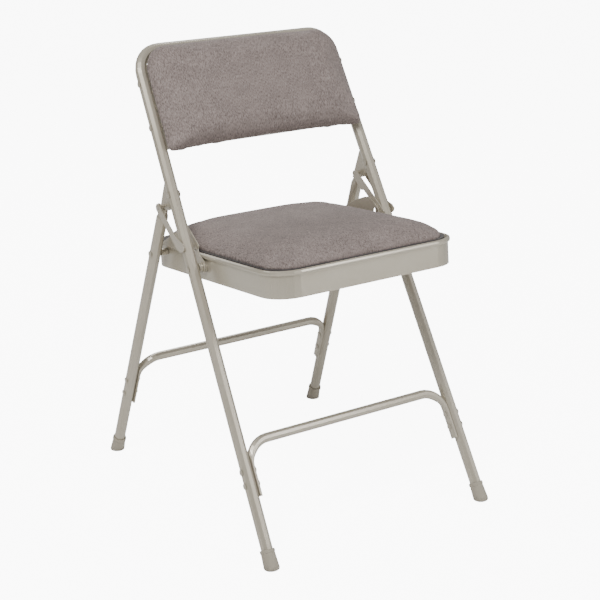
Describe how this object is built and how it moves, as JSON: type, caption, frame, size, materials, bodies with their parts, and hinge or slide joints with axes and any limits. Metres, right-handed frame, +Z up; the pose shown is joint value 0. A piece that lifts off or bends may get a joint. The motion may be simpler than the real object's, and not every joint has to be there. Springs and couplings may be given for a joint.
{
  "type": "folding chair",
  "caption": "Steel folding chair with crossed tubular legs, crossbars, side struts, a padded seat pan and a padded back; the seat and rear legs fold flat together.",
  "frame": {"origin": "on the floor under the middle of the chair's overall box, chair unfolded", "axes": "+Z up, the sitter faces -Y, +X to the sitter's left"},
  "size_m": [0.4576, 0.5468, 0.749],
  "materials": {
    "front_frame": "semi-gloss powder coat",
    "front_crossbar": "semi-gloss powder coat",
    "front_bar_rivet_left_upper": "semi-gloss",
    "front_bar_rivet_left_lower": "semi-gloss",
    "front_bar_rivet_right_upper": "semi-gloss",
    "front_bar_rivet_right_lower": "semi-gloss",
    "foot_tip_front_left": "matte",
    "foot_tip_front_right": "matte",
    "leg_pivot_rivet_left": "semi-gloss",
    "leg_pivot_rivet_right": "semi-gloss",
    "seat_pivot_rivet_left": "semi-gloss",
    "seat_pivot_rivet_right": "semi-gloss",
    "pivot_washer_left": "semi-gloss",
    "pivot_washer_right": "semi-gloss",
    "back_panel": "semi-gloss powder coat",
    "back_pad": "woven upholstery over foam",
    "back_rivet_left_upper": "semi-gloss",
    "back_rivet_left_lower": "semi-gloss",
    "back_rivet_right_upper": "semi-gloss",
    "back_rivet_right_lower": "semi-gloss",
    "seat_pan": "semi-gloss powder coat",
    "seat_board": "plain board",
    "seat_pad": "woven upholstery over foam",
    "ear_left": "semi-gloss powder coat",
    "ear_right": "semi-gloss powder coat",
    "spacer_block_left": "semi-gloss powder coat",
    "spacer_block_right": "semi-gloss powder coat",
    "ear_rivet_left": "semi-gloss",
    "ear_rivet_right": "semi-gloss",
    "rear_leg_left": "semi-gloss powder coat",
    "rear_leg_right": "semi-gloss powder coat",
    "rear_crossbar": "semi-gloss powder coat",
    "rear_bar_rivet_left_upper": "semi-gloss",
    "rear_bar_rivet_left_lower": "semi-gloss",
    "rear_bar_rivet_right_upper": "semi-gloss",
    "rear_bar_rivet_right_lower": "semi-gloss",
    "foot_tip_rear_left": "matte",
    "foot_tip_rear_right": "matte",
    "stop_pin_left": "semi-gloss",
    "stop_pin_right": "semi-gloss",
    "strut_inner_left": "semi-gloss powder coat",
    "strut_outer_left": "semi-gloss powder coat",
    "strut_rivet_left": "semi-gloss",
    "strut_washer_left": "semi-gloss",
    "strut_stud_left": "semi-gloss",
    "strut_inner_right": "semi-gloss powder coat",
    "strut_outer_right": "semi-gloss powder coat",
    "strut_rivet_right": "semi-gloss",
    "strut_washer_right": "semi-gloss",
    "strut_stud_right": "semi-gloss"
  },
  "bodies": {
    "front_frame_body": {"front_frame": "front_frame", "front_crossbar": "front_crossbar", "front_bar_rivet_left_upper": "front_bar_rivet_left_upper", "front_bar_rivet_left_lower": "front_bar_rivet_left_lower", "front_bar_rivet_right_upper": "front_bar_rivet_right_upper", "front_bar_rivet_right_lower": "front_bar_rivet_right_lower", "foot_tip_front_left": "foot_tip_front_left", "foot_tip_front_right": "foot_tip_front_right", "leg_pivot_rivet_left": "leg_pivot_rivet_left", "leg_pivot_rivet_right": "leg_pivot_rivet_right", "seat_pivot_rivet_left": "seat_pivot_rivet_left", "seat_pivot_rivet_right": "seat_pivot_rivet_right", "pivot_washer_left": "pivot_washer_left", "pivot_washer_right": "pivot_washer_right", "back_panel": "back_panel", "back_pad": "back_pad", "back_rivet_left_upper": "back_rivet_left_upper", "back_rivet_left_lower": "back_rivet_left_lower", "back_rivet_right_upper": "back_rivet_right_upper", "back_rivet_right_lower": "back_rivet_right_lower"},
    "seat_body": {"seat_pan": "seat_pan", "seat_board": "seat_board", "seat_pad": "seat_pad", "ear_left": "ear_left", "ear_right": "ear_right", "spacer_block_left": "spacer_block_left", "spacer_block_right": "spacer_block_right", "ear_rivet_left": "ear_rivet_left", "ear_rivet_right": "ear_rivet_right"},
    "rear_leg_body": {"rear_leg_left": "rear_leg_left", "rear_leg_right": "rear_leg_right", "rear_crossbar": "rear_crossbar", "rear_bar_rivet_left_upper": "rear_bar_rivet_left_upper", "rear_bar_rivet_left_lower": "rear_bar_rivet_left_lower", "rear_bar_rivet_right_upper": "rear_bar_rivet_right_upper", "rear_bar_rivet_right_lower": "rear_bar_rivet_right_lower", "foot_tip_rear_left": "foot_tip_rear_left", "foot_tip_rear_right": "foot_tip_rear_right", "stop_pin_left": "stop_pin_left", "stop_pin_right": "stop_pin_right"},
    "strut_left_body": {"strut_inner_left": "strut_inner_left", "strut_outer_left": "strut_outer_left", "strut_rivet_left": "strut_rivet_left", "strut_washer_left": "strut_washer_left", "strut_stud_left": "strut_stud_left"},
    "strut_right_body": {"strut_inner_right": "strut_inner_right", "strut_outer_right": "strut_outer_right", "strut_rivet_right": "strut_rivet_right", "strut_washer_right": "strut_washer_right", "strut_stud_right": "strut_stud_right"}
  },
  "joints": [
    {"name": "seat_fold", "type": "hinge", "parent": "front_frame_body", "child": "seat_body", "pos_m": [0, -0.00948, 0.419], "axis": [1, 0, 0], "range_deg": [0, 60]},
    {"name": "rear_leg_fold", "type": "hinge", "parent": "front_frame_body", "child": "rear_leg_body", "pos_m": [0, 0.05543, 0.527], "axis": [-1, 0, 0], "range_deg": [0, 44.75]},
    {"name": "strut_turn_left", "type": "hinge", "parent": "rear_leg_body", "child": "strut_left_body", "pos_m": [0, 0.083, 0.502], "axis": [1, 0, 0], "range_deg": [0, 29.21]},
    {"name": "strut_turn_right", "type": "hinge", "parent": "rear_leg_body", "child": "strut_right_body", "pos_m": [0, 0.083, 0.502], "axis": [1, 0, 0], "range_deg": [0, 29.21]}
  ],
  "couplings": [
    {"joint": "rear_leg_fold", "follows": "seat_fold", "ratio": 0.745},
    {"joint": "strut_turn_left", "follows": "seat_fold", "ratio": 0.486},
    {"joint": "strut_turn_right", "follows": "seat_fold", "ratio": 0.486}
  ]
}
